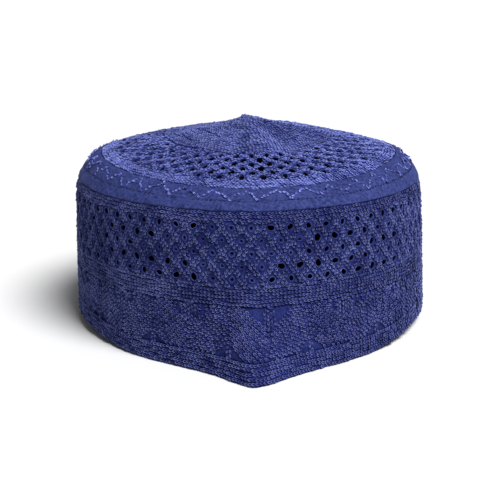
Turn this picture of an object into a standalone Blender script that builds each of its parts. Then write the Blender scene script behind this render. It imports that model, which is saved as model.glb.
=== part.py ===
"""Embroidered prayer cap: a soft round cap, hollow and open below.

Metres, +Z up, front towards -Y, +X to the right of someone facing the front.
The whole cap is one cloth surface cut into strips: a side wall, a shoulder tape and a crown.
A place on it is an angle round the cap (degrees from the front, right side positive) and a
distance along it: a height on the side, a share of the tape, a radius on the crown.
Each strip is a closed wall of its own, a small gap away from the next.
"""
from collections import namedtuple
from math import cos, exp, hypot, radians, sin, sqrt

import bmesh
import bpy
from mathutils import Vector

for leftover in list(bpy.data.objects):
    bpy.data.objects.remove(leftover, do_unlink=True)

# Plan of the cap, measured on the outer face
RIM_RADIUS = 0.0906
SEAM_RADIUS = 0.0870
TAPE_WIDTH = 0.0115
CROWN_BORDER_WIDTH = 0.0067
DISC_RADIUS = 0.0446
LENGTHENING = 0.03      # share that the radius gains at the front and the back

# Heights of the strips of the side wall, bottom to top
HEM_HEIGHT = 0.0090
BAND_HEIGHT = 0.0215
DIVIDER_HEIGHT = 0.0091
MESH_HEIGHT = 0.0284
TOP_BORDER_HEIGHT = 0.0045

# Rises above the side wall
TAPE_RISE = 0.0120
SADDLE_DROP = 0.0045    # the tape's inner edge lies lower at the front and the back
CROWN_RISE = 0.0140
PEAK_RISE = 0.0030      # pinched point in the middle of the crown
PEAK_SPREAD = 0.0070
FOLD_HEIGHT = 0.0016

# Front and back creases, which the cap is folded flat along
PROW_REACH = 0.0220
FLARE_REACH = 0.0030
BACK_REACH = 0.0095
RIM_LIFT = 0.0035       # the rim arches up at the sides and rests at the front and the back
LEAN = 0.0012           # the soft wall leans this far to the left by the height of the seam

# Walls of the strips, the ribs that dense stitch rows raise on them, and the gap between strips
HEM_WALL = 0.0026
BAND_WALL = 0.0020
DIVIDER_WALL = 0.0018
MESH_WALL = 0.0012
TOP_BORDER_WALL = 0.0018
TAPE_WALL = 0.0012
TAPE_LIP = 0.0004       # extra thickness of the tape's folded lower edge
DISC_CORD_WIDTH = 0.0060
CROWN_BORDER_WALL = 0.0018
DISC_WALL = 0.0016
RIB_DEPTH = 0.0005
GAP = 0.0004

# Counts
COLUMNS = 54
HEM_RIBS = 4
DIVIDER_RIBS = 3
TOP_BORDER_RIBS = 3
CROWN_BORDER_RIBS = 3
SIDE_NET_COLUMNS = 28
SIDE_NET_ROWS = 3
CROWN_NET_COLUMNS = 18
CROWN_NET_ROWS = 2

# Shapes without a length
COLUMN_CROWDING = 1.3   # power that crowds the columns towards the front crease
DOME_POWER = 1.6
SADDLE_POWER = 1.2
TAPE_POWER = 1.8
HOLE_SHARE = 0.36       # opening of a net cell against the whole cell
PROW_ANGLE = 1.0        # the tip stands a little to the right, in degrees
PROW_LEFT_FALL = 8.0    # degrees in which each flank of the crease falls away
PROW_RIGHT_FALL = 10.5
BACK_FALL = 10.0
TIP_ROUNDING = 3.0
FLARE_SPREAD = 45.0
LIFT_START = 33.0       # degrees from the front and the back where the rim leaves the ground
LIFT_FULL = 66.0
PROBE_TURN = 1.5        # degrees and metres to each side at which slopes are measured
PROBE_LENGTH = 0.001

MESH_BOTTOM = HEM_HEIGHT + BAND_HEIGHT + DIVIDER_HEIGHT
MESH_TOP = MESH_BOTTOM + MESH_HEIGHT
SIDE_HEIGHT = MESH_TOP + TOP_BORDER_HEIGHT
TAPE_EDGE_RADIUS = SEAM_RADIUS - TAPE_WIDTH
NET_OUTER_RADIUS = TAPE_EDGE_RADIUS - CROWN_BORDER_WIDTH

# How the creases and the taper change up the side wall. Shares: height of SIDE_HEIGHT,
# front of PROW_REACH and FLARE_REACH, back of BACK_REACH, taper of RIM_RADIUS - SEAM_RADIUS.
Level = namedtuple("Level", "height front back taper")
LEVELS = (
    Level(0.00, 1.00, 1.00, 0.00),
    Level(0.12, 0.74, 0.76, 0.06),
    Level(0.27, 0.42, 0.46, 0.12),
    Level(0.42, 0.24, 0.26, 0.18),
    Level(0.52, 0.15, 0.17, 0.24),
    Level(0.72, 0.10, 0.10, 0.40),
    Level(0.94, 0.08, 0.08, 0.70),
    Level(1.00, 0.06, 0.06, 1.00),
)

# Soft folds and dents of the crown. Direction in degrees from the front; middle, length and
# width are shares of TAPE_EDGE_RADIUS, height of FOLD_HEIGHT.
Fold = namedtuple("Fold", "direction middle length width height")
FOLDS = (
    Fold(4, 0.20, 0.22, 0.085, 1.00),
    Fold(-24, 0.22, 0.24, 0.080, -0.90),
    Fold(42, 0.20, 0.20, 0.080, -0.45),
    Fold(-62, 0.34, 0.24, 0.090, 0.70),
    Fold(-96, 0.40, 0.20, 0.090, -0.90),
    Fold(78, 0.34, 0.24, 0.090, 0.70),
    Fold(108, 0.46, 0.18, 0.090, -1.00),
    Fold(176, 0.30, 0.32, 0.090, 0.90),
    Fold(-148, 0.32, 0.22, 0.090, -0.60),
)


# Sections of the tape and the disc. Shares: share of the way from the seam to the tape's inner
# edge, lip of TAPE_LIP, and the disc's rings of DISC_RADIUS.
TapeRow = namedtuple("TapeRow", "share lip")
TAPE_ROWS = (
    TapeRow(0.00, 1.0),
    TapeRow(0.22, 1.0),
    TapeRow(0.28, 0.0),
    TapeRow(0.52, 0.0),
    TapeRow(0.76, 0.0),
    TapeRow(1.00, 0.0),
)
TAPE_INNER_SHARES = (1.00, 0.70, 0.38, 0.00)
DISC_RING_SHARES = (0.13, 0.30, 0.50, 0.70)
DISC_INNER_SHARES = (0.66, 0.33)


def ease(share):
    """0 to 1 with level ends."""
    share = min(max(share, 0.0), 1.0)
    return share * share * (3 - 2 * share)


def read_level(share):
    """The row of LEVELS at any height, on a smooth curve through the rows."""
    share = min(max(share, 0.0), 1.0)
    last = len(LEVELS) - 2
    index = max(i for i in range(last + 1) if LEVELS[i].height <= share)
    before, low, high, after = (LEVELS[max(index - 1, 0)], LEVELS[index], LEVELS[index + 1],
                                LEVELS[min(index + 2, last + 1)])
    span = high.height - low.height
    t = (share - low.height) / span
    values = [share]
    for a, b, c, d in zip(before[1:], low[1:], high[1:], after[1:]):
        slope_b = (c - a) / (high.height - before.height) * span
        slope_c = (d - b) / (after.height - low.height) * span
        values.append(b * (1 + 2 * t) * (1 - t) ** 2 + slope_b * t * (1 - t) ** 2
                      + c * t * t * (3 - 2 * t) + slope_c * t * t * (t - 1))
    return Level(*values)


def oval(angle):
    """Growth of every radius towards the front and the back."""
    return 1 + LENGTHENING * cos(radians(angle)) ** 2


def crease(angle, left_fall, right_fall):
    """1 on a crease, falling away on its two flanks."""
    fall = left_fall if angle < 0 else right_fall
    return exp(-(hypot(angle, TIP_ROUNDING) - TIP_ROUNDING) / fall)


def side_radius(angle, height):
    """Radius of the side wall's outer face."""
    level = read_level(height / SIDE_HEIGHT)
    base = RIM_RADIUS - level.taper * (RIM_RADIUS - SEAM_RADIUS)
    prow = PROW_REACH * crease(angle - PROW_ANGLE, PROW_LEFT_FALL, PROW_RIGHT_FALL)
    flare = FLARE_REACH * exp(-(angle / FLARE_SPREAD) ** 2)
    back = BACK_REACH * crease(180 - abs(angle), BACK_FALL, BACK_FALL)
    return base * oval(angle) + level.front * (prow + flare) + level.back * back


def spot(angle, radius, height, lean=1.0):
    """A point of the cap by angle, radius and height, with its share of the lean."""
    turned = radians(angle)
    return Vector((radius * sin(turned) - LEAN * lean, -radius * cos(turned), height))


def side_level(angle, height):
    """Height of the side wall above the ground: the lift of the rim fades out in the band."""
    from_rest = min(abs(angle), 180 - abs(angle))
    arch = ease((from_rest - LIFT_START) / (LIFT_FULL - LIFT_START))
    return height + RIM_LIFT * arch * (1 - ease((height - HEM_HEIGHT) / BAND_HEIGHT))


def side_point(angle, height, offset):
    """A point of the side wall, moved outward level with the ground by a true thickness."""
    radius = side_radius(angle, height)
    left = side_radius(angle - PROBE_TURN, height)
    right = side_radius(angle + PROBE_TURN, height)
    above = side_radius(angle, height + PROBE_LENGTH)
    below = side_radius(angle, height - PROBE_LENGTH)
    around = (abs(radius - left) + abs(right - radius)) / (2 * radians(PROBE_TURN) * radius)
    upward = (above - below) / (2 * PROBE_LENGTH)
    radius += offset * sqrt(1 + around ** 2 + upward ** 2)
    return spot(angle, radius, side_level(angle, height), height / SIDE_HEIGHT)


def along_normal(face, angle, place, step, offset):
    """A point of a face moved outward along its normal. A step leads up the cap or inwards."""
    along = face(angle, place + step) - face(angle, place - step)
    around = face(angle + PROBE_TURN, place) - face(angle - PROBE_TURN, place)
    return face(angle, place) + around.cross(along).normalized() * offset


def tape_face(angle, share):
    """The shoulder tape from the seam (0) to its inner edge (1): steep first, then level."""
    share = min(share, 1.0)
    seam = side_radius(angle, SIDE_HEIGHT)
    inner = TAPE_EDGE_RADIUS * oval(angle)
    radius = seam + (inner - seam) * share
    rise = TAPE_RISE - SADDLE_DROP * cos(radians(angle)) ** 2
    return spot(angle, radius, SIDE_HEIGHT + rise * (1 - (1 - share) ** TAPE_POWER))


def tape_point(angle, share, offset):
    """A point of the tape. Its lower edge is cut level, to sit on the side wall."""
    if share > 0:
        return along_normal(tape_face, angle, share, PROBE_LENGTH / TAPE_WIDTH, offset)
    point = side_point(angle, SIDE_HEIGHT, offset)
    point.z = SIDE_HEIGHT + GAP / 2
    return point


def crown_face(angle, radius):
    """The crown: a low dome with a pinched middle and soft folds."""
    radius = max(radius, 0.0)
    share = radius / TAPE_EDGE_RADIUS
    height = SIDE_HEIGHT + TAPE_RISE + CROWN_RISE * (1 - share ** DOME_POWER)
    height -= SADDLE_DROP * share ** SADDLE_POWER * cos(radians(angle)) ** 2
    height += PEAK_RISE * exp(-radius / PEAK_SPREAD)
    for fold in FOLDS:
        turned = radians(angle - fold.direction)
        along = (share * cos(turned) - fold.middle) / fold.length
        across = share * sin(turned) / fold.width
        height += FOLD_HEIGHT * fold.height * exp(-along ** 2 - across ** 2)
    return spot(angle, radius * oval(angle), height)


def crown_point(angle, radius, offset):
    """A point of the crown at a radius of the circle that the cap's plan comes from."""
    if radius <= 0:
        return crown_face(0, 0) + Vector((0, 0, offset))
    return along_normal(crown_face, angle, radius, -PROBE_LENGTH, offset)


def column_angles():
    """Angles of the columns, crowded towards the front crease and symmetrical."""
    half = COLUMNS // 2
    right = [180 * (i / half) ** COLUMN_CROWDING for i in range(half + 1)]
    return [-angle for angle in right[half - 1:0:-1]] + right


def material(name, colour, roughness):
    """A plain cloth or thread material."""
    made = bpy.data.materials.new(name)
    made.use_nodes = True
    shader = made.node_tree.nodes["Principled BSDF"]
    shader.inputs["Base Color"].default_value = (*colour, 1)
    shader.inputs["Roughness"].default_value = roughness
    shader.inputs["Metallic"].default_value = 0.0
    return made


def finish(name, points, faces, look):
    """One named object from points and faces."""
    mesh = bpy.data.meshes.new(name)
    mesh.from_pydata(points, [], faces)
    shell = bmesh.new()
    shell.from_mesh(mesh)
    bmesh.ops.recalc_face_normals(shell, faces=shell.faces)
    shell.to_mesh(mesh)
    shell.free()
    mesh.shade_smooth()
    mesh.set_sharp_from_angle(angle=radians(40))
    mesh.materials.append(look)
    piece = bpy.data.objects.new(name, mesh)
    bpy.context.collection.objects.link(piece)
    return piece


def ribbed(low, high, ribs, wall, inner_steps):
    """Section of a ribbed strip: (place, offset) up the ridged outer face, then down the inner."""
    steps = 2 * ribs
    outer = [(low + (high - low) * i / steps, RIB_DEPTH * (i % 2)) for i in range(steps + 1)]
    inner = [(high + (low - high) * i / inner_steps, -wall) for i in range(inner_steps + 1)]
    return outer + inner


def plain(low, high, steps, wall):
    """Section of a smooth strip."""
    outer = [(low + (high - low) * i / steps, 0.0) for i in range(steps + 1)]
    inner = [(place, -wall) for place, _ in reversed(outer)]
    return outer + inner


def inward(section):
    """A section whose places are radii, turned to run from the outer edge inwards."""
    low = min(place for place, _ in section)
    high = max(place for place, _ in section)
    return [(low + high - place, offset) for place, offset in section]


def tape_section():
    """Section of the tape: a thicker folded lip below, then smooth cloth up to the inner edge."""
    outer = [(row.share, row.lip * TAPE_LIP) for row in TAPE_ROWS]
    return outer + [(share, -TAPE_WALL) for share in TAPE_INNER_SHARES]


def disc_rings():
    """Rings of the disc: a smooth middle, a raised ring of cord at the rim, and a plain inside."""
    rim = DISC_RADIUS - GAP / 2
    outer = [(0.0, 0.0)] + [(rim * share, 0.0) for share in DISC_RING_SHARES]
    outer += [(rim - DISC_CORD_WIDTH, 0.0), (rim - DISC_CORD_WIDTH / 2, RIB_DEPTH), (rim, 0.0)]
    inner = [(rim, -DISC_WALL)] + [(rim * share, -DISC_WALL) for share in DISC_INNER_SHARES]
    return outer + inner + [(0.0, -DISC_WALL)]


def ring(name, point, section, look):
    """A strip that runs all the way round: the closed section at every column."""
    angles = column_angles()
    points = [point(angle, place, offset) for angle in angles for place, offset in section]
    count = len(section)
    faces = []
    for column in range(len(angles)):
        here = column * count
        there = (column + 1) % len(angles) * count
        for k in range(count):
            after = (k + 1) % count
            faces.append((here + k, there + k, there + after, here + after))
    return finish(name, points, faces, look)


def net(name, point, columns, rows, low, high, wall, look):
    """A pierced strip: a lattice of diamonds, each with an opening, and half diamonds at the edges.

    Lattice places are whole numbers: two to a column round the cap, one to a row up the strip.
    """
    outer, inner, faces, index = [], [], [], {}

    def vertex(across, up):
        key = (round(across, 4) % (2 * columns), round(up, 4))
        if key not in index:
            index[key] = len(outer)
            angle = (180 * across / columns + 180) % 360 - 180
            place = low + (high - low) * up / (rows + 1)
            outer.append(point(angle, place, 0.0))
            inner.append(point(angle, place, -wall))
        return index[key]

    for row in range(rows + 2):
        for column in range(columns):
            across = 2 * column + row % 2
            left, right = vertex(across - 1, row), vertex(across + 1, row)
            if row == 0:
                middle, tip = vertex(across, row), vertex(across, row + 1)
                faces += [(left, middle, tip), (middle, right, tip)]
                continue
            if row == rows + 1:
                middle, tip = vertex(across, row), vertex(across, row - 1)
                faces += [(left, tip, middle), (middle, tip, right)]
                continue
            corners = [left, vertex(across, row - 1), right, vertex(across, row + 1)]
            opening = [vertex(across - HOLE_SHARE, row), vertex(across, row - HOLE_SHARE),
                       vertex(across + HOLE_SHARE, row), vertex(across, row + HOLE_SHARE)]
            for k in range(4):
                after = (k + 1) % 4
                faces.append((corners[k], corners[after], opening[after], opening[k]))
    return thicken(name, outer, inner, faces, look)


def thicken(name, outer, inner, faces, look):
    """Close an outer and an inner sheet of the same faces with walls along every open edge."""
    count = len(outer)
    edges = {(face[k], face[(k + 1) % len(face)]) for face in faces for k in range(len(face))}
    backs = [tuple(corner + count for corner in reversed(face)) for face in faces]
    walls = [(b, a, a + count, b + count) for a, b in sorted(edges) if (b, a) not in edges]
    return finish(name, outer + inner, faces + backs + walls, look)


def disc(name, rings, look):
    """The middle of the crown: rings of (radius, offset) from the centre out and back again."""
    angles = column_angles()
    points = [crown_point(0, 0, rings[0][1])]
    for radius, offset in rings[1:-1]:
        points += [crown_point(angle, radius, offset) for angle in angles]
    points.append(crown_point(0, 0, rings[-1][1]))
    count = len(angles)
    faces = []
    for column in range(count):
        after = (column + 1) % count
        faces.append((0, 1 + column, 1 + after))
        for k in range(len(rings) - 3):
            here, there = 1 + k * count, 1 + (k + 1) * count
            faces.append((here + column, there + column, there + after, here + after))
        final = 1 + (len(rings) - 3) * count
        faces.append((final + column, len(points) - 1, final + after))
    return finish(name, points, faces, look)


def build():
    """All strips from the hem up, then centre the cap on the origin."""
    thread = (0.052, 0.068, 0.225)
    cloth = (0.030, 0.040, 0.130)
    smooth_cloth = (0.048, 0.062, 0.210)
    edge = GAP / 2
    band_bottom = HEM_HEIGHT
    band_top = HEM_HEIGHT + BAND_HEIGHT

    pieces = [
        ring("hem_band", side_point,
             ribbed(0.0, band_bottom - edge, HEM_RIBS, HEM_WALL, 3),
             material("hem_chain_stitch", thread, 0.85)),
        ring("side_band", side_point,
             plain(band_bottom + edge, band_top - edge, 4, BAND_WALL),
             material("band_embroidery", thread, 0.80)),
        ring("side_divider", side_point,
             ribbed(band_top + edge, MESH_BOTTOM - edge, DIVIDER_RIBS, DIVIDER_WALL, 2),
             material("divider_chain_stitch", thread, 0.82)),
        net("side_openwork", side_point, SIDE_NET_COLUMNS, SIDE_NET_ROWS,
            MESH_BOTTOM + edge, MESH_TOP - edge, MESH_WALL,
            material("side_eyelet_cloth", cloth, 0.90)),
        ring("side_top_border", side_point,
             ribbed(MESH_TOP + edge, SIDE_HEIGHT - edge, TOP_BORDER_RIBS, TOP_BORDER_WALL, 1),
             material("top_border_chain_stitch", thread, 0.84)),
        ring("shoulder_tape", tape_point, tape_section(),
             material("tape_cloth", smooth_cloth, 0.75)),
        ring("crown_border", crown_point,
             inward(ribbed(NET_OUTER_RADIUS + edge, TAPE_EDGE_RADIUS - edge,
                           CROWN_BORDER_RIBS, CROWN_BORDER_WALL, 2)),
             material("crown_border_chain_stitch", thread, 0.80)),
        net("crown_openwork", crown_point, CROWN_NET_COLUMNS, CROWN_NET_ROWS,
            NET_OUTER_RADIUS - edge, DISC_RADIUS + edge, MESH_WALL,
            material("crown_eyelet_cloth", cloth, 0.88)),
        disc("crown_disc", disc_rings(), material("disc_embroidery", thread, 0.80)),
    ]

    depths = [corner.co.y for piece in pieces for corner in piece.data.vertices]
    shift = -(min(depths) + max(depths)) / 2
    for piece in pieces:
        for corner in piece.data.vertices:
            corner.co.y += shift


build()
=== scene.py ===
# %% [markdown]
# # An embroidered prayer cap
#
# The cap is cotton cloth covered with chain stitch: a side wall, a smooth tape round the shoulder
# and a low crown. The wall and the crown each have a strip of eyelets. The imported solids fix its
# size and place. This script dresses them in fine cloth with real eyelets and over twenty
# thousand stitches.

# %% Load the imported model
from collections import namedtuple
from math import asin, pi, radians

import bmesh
import bpy
import numpy as np
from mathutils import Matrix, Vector


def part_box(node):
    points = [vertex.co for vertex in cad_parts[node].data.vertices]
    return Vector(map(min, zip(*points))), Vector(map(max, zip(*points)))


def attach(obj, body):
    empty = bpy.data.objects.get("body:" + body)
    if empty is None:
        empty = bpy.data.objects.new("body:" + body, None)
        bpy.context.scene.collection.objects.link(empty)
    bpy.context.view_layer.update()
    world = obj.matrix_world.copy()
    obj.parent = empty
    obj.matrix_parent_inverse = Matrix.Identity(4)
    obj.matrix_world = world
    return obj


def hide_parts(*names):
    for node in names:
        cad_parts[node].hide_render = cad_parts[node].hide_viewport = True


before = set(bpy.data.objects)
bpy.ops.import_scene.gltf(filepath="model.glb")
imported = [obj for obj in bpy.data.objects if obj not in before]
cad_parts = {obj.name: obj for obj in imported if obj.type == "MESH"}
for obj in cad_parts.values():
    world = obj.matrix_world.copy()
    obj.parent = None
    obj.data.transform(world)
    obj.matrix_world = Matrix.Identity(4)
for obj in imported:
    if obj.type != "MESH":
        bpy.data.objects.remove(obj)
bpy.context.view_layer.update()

# %% [markdown]
# ## The form of the cap
#
# A cap can be sculpted or draped, but a sewn cap follows a plain rule: a radius and a height for
# each direction, worked out from the same named sizes as the solids. Every stitch, eyelet and seam
# is then placed by an angle from the front, in degrees, and a place along the cloth: a height on
# the side, a share of the tape, a radius on the crown.

# %% Sizes of the cap, in metres
RIM_RADIUS, SEAM_RADIUS, DISC_RADIUS = 0.0906, 0.0870, 0.0446
TAPE_EDGE_RADIUS, NET_OUTER_RADIUS = 0.0755, 0.0688
HEM_TOP, BAND_TOP, MESH_BOTTOM, MESH_TOP, SIDE_HEIGHT = 0.0090, 0.0305, 0.0396, 0.0680, 0.0725
TAPE_RISE, SADDLE_DROP, CROWN_RISE = 0.0120, 0.0045, 0.0140
PEAK_RISE, PEAK_SPREAD, PEAK_SHIFT, FOLD_HEIGHT = 0.0030, 0.0070, 0.0023, 0.0020
PROW_REACH, FLARE_REACH, BACK_REACH = 0.0220, 0.0030, 0.0095
RIM_LIFT, LEAN, LENGTHENING = 0.0035, 0.0012, 0.03
PROW_ANGLE, PROW_LEFT_FALL, PROW_RIGHT_FALL, BACK_FALL, TIP_ROUNDING = 1.0, 8.0, 10.5, 10.0, 3.0
FLARE_SPREAD, LIFT_START, LIFT_FULL = 45.0, 33.0, 66.0
DOME_POWER, SADDLE_POWER, TAPE_POWER = 1.6, 1.2, 1.8

disc_low, disc_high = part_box("crown_disc")
AXIS_Y = (disc_low.y + disc_high.y) / 2
print("the cap's axis lies", round(1000 * AXIS_Y, 2), "mm behind the origin")

# %% How the creases and the taper change up the side wall
# Each row has a share of SIDE_HEIGHT and, at that height, the shares of the front reaches, of
# BACK_REACH and of the difference between rim and seam.
LEVELS = np.array((
    (0.00, 1.00, 1.00, 0.00),
    (0.12, 0.74, 0.76, 0.06),
    (0.27, 0.42, 0.46, 0.12),
    (0.42, 0.24, 0.26, 0.18),
    (0.52, 0.15, 0.17, 0.24),
    (0.72, 0.10, 0.10, 0.40),
    (0.94, 0.08, 0.08, 0.70),
    (1.00, 0.06, 0.06, 1.00),
))

# Folds of the crown: direction in degrees from the front; middle, length and width are shares of
# TAPE_EDGE_RADIUS, height is a share of FOLD_HEIGHT.
Fold = namedtuple("Fold", "direction middle length width height")
FOLDS = (
    Fold(4, 0.20, 0.22, 0.085, 1.00),
    Fold(-24, 0.22, 0.24, 0.080, -0.90),
    Fold(42, 0.20, 0.20, 0.080, -0.45),
    Fold(-62, 0.34, 0.24, 0.090, 0.70),
    Fold(-96, 0.40, 0.20, 0.090, -0.90),
    Fold(78, 0.34, 0.24, 0.090, 0.70),
    Fold(108, 0.46, 0.18, 0.090, -1.00),
    Fold(176, 0.30, 0.32, 0.090, 0.90),
    Fold(-148, 0.32, 0.22, 0.090, -0.60),
    Fold(-9, 0.44, 0.14, 0.060, -1.00),
    Fold(12, 0.50, 0.13, 0.080, 0.75),
    Fold(32, 0.46, 0.15, 0.070, -0.85),
    Fold(-27, 0.47, 0.14, 0.070, 0.55),
    Fold(-70, 0.16, 0.10, 0.060, -0.60),
    Fold(64, 0.44, 0.16, 0.070, -0.55),
    Fold(-55, 0.50, 0.16, 0.060, -0.50),
    Fold(140, 0.48, 0.16, 0.080, 0.35),
    Fold(-120, 0.50, 0.16, 0.080, -0.30),
)


# %% Helpers for the form
def ease(share):
    """0 to 1 with level ends."""
    share = np.clip(share, 0, 1)
    return share * share * (3 - 2 * share)


def level_at(share):
    """Front, back and taper at any height, on a smooth curve through LEVELS."""
    rows = LEVELS[[0, *range(len(LEVELS)), -1]]
    change = rows[2:] - rows[:-2]
    slopes = change[:, 1:] / change[:, :1]
    share = np.clip(share, 0, 1)
    low = np.clip(np.searchsorted(LEVELS[:, 0], share, side="right") - 1, 0, len(LEVELS) - 2)
    high = low + 1
    span = (LEVELS[high, 0] - LEVELS[low, 0])[..., None]
    t = (share - LEVELS[low, 0])[..., None] / span
    made = (LEVELS[low, 1:] * (1 + 2 * t) * (1 - t) ** 2 + LEVELS[high, 1:] * t * t * (3 - 2 * t)
            + span * (slopes[low] * t * (1 - t) ** 2 + slopes[high] * t * t * (t - 1)))
    return np.moveaxis(made, -1, 0)


def crease(angle, left_fall, right_fall):
    """1 on a crease, falling away on its two flanks."""
    fall = np.where(angle < 0, left_fall, right_fall)
    return np.exp(-(np.hypot(angle, TIP_ROUNDING) - TIP_ROUNDING) / fall)


def wrapped(angle):
    """An angle between -180 and 180 degrees."""
    return (angle + 180) % 360 - 180


def oval(angle):
    return 1 + LENGTHENING * np.cos(np.radians(angle)) ** 2


def spot(angle, radius, height, lean):
    """A point by angle, radius and height, with its share of the lean to the left."""
    turned = np.radians(angle)
    x, y = radius * np.sin(turned) - LEAN * lean, AXIS_Y - radius * np.cos(turned)
    return np.stack([x, y, height], axis=-1)


# %% Side, tape and crown as functions of angle and place
def side_radius(angle, height):
    front, back, taper = level_at(height / SIDE_HEIGHT)
    angle = wrapped(angle)
    prow = PROW_REACH * crease(angle - PROW_ANGLE, PROW_LEFT_FALL, PROW_RIGHT_FALL)
    flare = FLARE_REACH * np.exp(-(angle / FLARE_SPREAD) ** 2)
    rear = BACK_REACH * crease(180 - np.abs(angle), BACK_FALL, BACK_FALL)
    base = RIM_RADIUS - taper * (RIM_RADIUS - SEAM_RADIUS)
    return base * oval(angle) + front * (prow + flare) + back * rear


def side_face(angle, height):
    off_rest = np.minimum(np.abs(wrapped(angle)), 180 - np.abs(wrapped(angle)))
    arch = ease((off_rest - LIFT_START) / (LIFT_FULL - LIFT_START))
    level = height + RIM_LIFT * arch * (1 - ease((height - HEM_TOP) / (BAND_TOP - HEM_TOP)))
    return spot(angle, side_radius(angle, height), level, height / SIDE_HEIGHT)


def tape_face(angle, share):
    seam = side_radius(angle, SIDE_HEIGHT + 0 * share)
    radius = seam + (TAPE_EDGE_RADIUS * oval(angle) - seam) * share
    rise = TAPE_RISE - SADDLE_DROP * np.cos(np.radians(angle)) ** 2
    left = np.clip(1 - share, 0, 2)
    return spot(angle, radius, SIDE_HEIGHT + rise * (1 - left ** TAPE_POWER), 1)


def crown_face(angle, radius):
    radius = np.maximum(radius, 0)
    share = radius / TAPE_EDGE_RADIUS
    height = SIDE_HEIGHT + TAPE_RISE + CROWN_RISE * (1 - share ** DOME_POWER)
    height = height - SADDLE_DROP * share ** SADDLE_POWER * np.cos(np.radians(angle)) ** 2
    turned = np.radians(angle)
    from_peak = np.hypot(radius * np.sin(turned) + PEAK_SHIFT, radius * np.cos(turned))
    height = height + PEAK_RISE * np.exp(-from_peak / PEAK_SPREAD)
    for fold in FOLDS:
        turned = np.radians(angle - fold.direction)
        along = (share * np.cos(turned) - fold.middle) / fold.length
        across = share * np.sin(turned) / fold.width
        height = height + FOLD_HEIGHT * fold.height * np.exp(-along ** 2 - across ** 2)
    return spot(angle, radius * oval(angle), height, 1)


# %% Points and outward normals of a face, raised above it
# The steps lead up the wall and in over tape and crown. PUCKER is the unevenness that thousands
# of pulled stitches leave in the cloth.
PROBE_ANGLE = 0.6
STEPS = {side_face: 0.0006, tape_face: 0.03, crown_face: -0.0006}
PUCKER = 0.00022


def pucker(point):
    """Slow waves of the cloth, a few millimetres long, with no two the same way."""
    x, y, z = 1000 * np.moveaxis(point, -1, 0)
    waves = np.sin(0.61 * x + 0.33 * z + 1.3) * np.cos(0.52 * y - 0.41 * z)
    waves += 0.7 * np.sin(0.23 * x - 0.36 * y + 0.9 * z + 2.1)
    return PUCKER * (waves + 0.6 * np.cos(0.95 * x + 0.71 * y + 0.2))


def lifted(face, angle, place, rise=0.0):
    """Points of a face moved out by rise, and the outward normals there."""
    angle, place, rise = np.broadcast_arrays(*(np.asarray(v, float) for v in (angle, place, rise)))
    step = STEPS[face]
    along = face(angle, place + step) - face(angle, place - step)
    around = face(angle + PROBE_ANGLE, place) - face(angle - PROBE_ANGLE, place)
    normal = np.cross(around, along)
    length = np.linalg.norm(normal, axis=-1, keepdims=True)
    normal = np.where(length > 1e-12, normal / np.maximum(length, 1e-12), (0.0, 0.0, 1.0))
    point = face(angle, place)
    return point + normal * (rise + pucker(point))[..., None], normal


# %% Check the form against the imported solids
for node, face, places in (
        ("side_band", side_face, (0.012, 0.020, 0.028)),
        ("shoulder_tape", tape_face, (0.3, 0.6, 0.9)),
        ("crown_disc", crown_face, (0.010, 0.020, 0.030))):
    angles, rows = np.meshgrid(np.arange(0, 360, 5), places)
    points = [Vector(p) for p in face(angles.ravel(), rows.ravel())]
    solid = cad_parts[node]
    off = max((p - solid.closest_point_on_mesh(p)[1]).length for p in points)
    print(node, "and the form part by", round(1000 * off, 2), "mm at most")

# %% [markdown]
# ## One way to build node trees
#
# Materials and Geometry Nodes are both trees of nodes. A small class wraps an output socket, so
# that sums are written as Python sums, and one method adds any other node.


# %% Sockets that add and multiply
def operator(operation, swapped=False):
    """A method that adds a Math node for a wire and another value."""
    def made(self, other):
        pair = (other, self) if swapped else (self, other)
        return self.graph.node("ShaderNodeMath", pair, operation=operation)
    return made


class Wire:
    """An output of a node that is used in sums as a number is."""

    def __init__(self, graph, socket):
        self.graph, self.socket = graph, socket

    __add__ = __radd__ = operator("ADD")
    __sub__, __rsub__ = operator("SUBTRACT"), operator("SUBTRACT", swapped=True)
    __mul__ = __rmul__ = operator("MULTIPLY")
    __truediv__ = operator("DIVIDE")

    def maths(self, operation, *values):
        """Any other operation of a Math node on this value."""
        return self.graph.node("ShaderNodeMath", (self, *values), operation=operation)

    def between(self, low, high):
        return self.maths("MAXIMUM", low).maths("MINIMUM", high)

    def out(self, name):
        """Another output of the same node."""
        return Wire(self.graph, pick(self.socket.node.outputs, name))


def pick(sockets, key):
    """A socket by its place, or the usable one of that name."""
    if isinstance(key, int):
        return sockets[key]
    return next(s for s in sockets if s.name == key and s.enabled)


class Graph:
    """A node tree, of a material or of geometry."""

    def __init__(self, tree):
        self.tree = tree

    def node(self, kind, values=(), out=None, **settings):
        """Add a node, set it, then give its sockets values or links. Returns an output."""
        made = self.tree.nodes.new(kind)
        for name, value in settings.items():
            setattr(made, name, value)
        for key, value in (values.items() if isinstance(values, dict) else enumerate(values)):
            socket = pick(made.inputs, key)
            if isinstance(value, Wire):
                self.tree.links.new(value.socket, socket)
            else:
                socket.default_value = value
        first = next((s for s in made.outputs if s.enabled), None)
        return Wire(self, first if out is None else pick(made.outputs, out))

    def vector(self, *parts):
        return self.node("ShaderNodeCombineXYZ", parts)

    def scaled(self, vector, scale):
        values = {"Vector": vector, "Scale": scale}
        return self.node("ShaderNodeVectorMath", values, operation="SCALE")

    def circle(self, sides, radius):
        return self.node("GeometryNodeCurvePrimitiveCircle", {"Resolution": sides, "Radius": radius})

    def stored(self, geometry, name, value, domain="POINT"):
        """Geometry with a number stored on it."""
        values = {"Geometry": geometry, "Name": name, "Value": value}
        return self.node("GeometryNodeStoreNamedAttribute", values, data_type="FLOAT", domain=domain)


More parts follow.
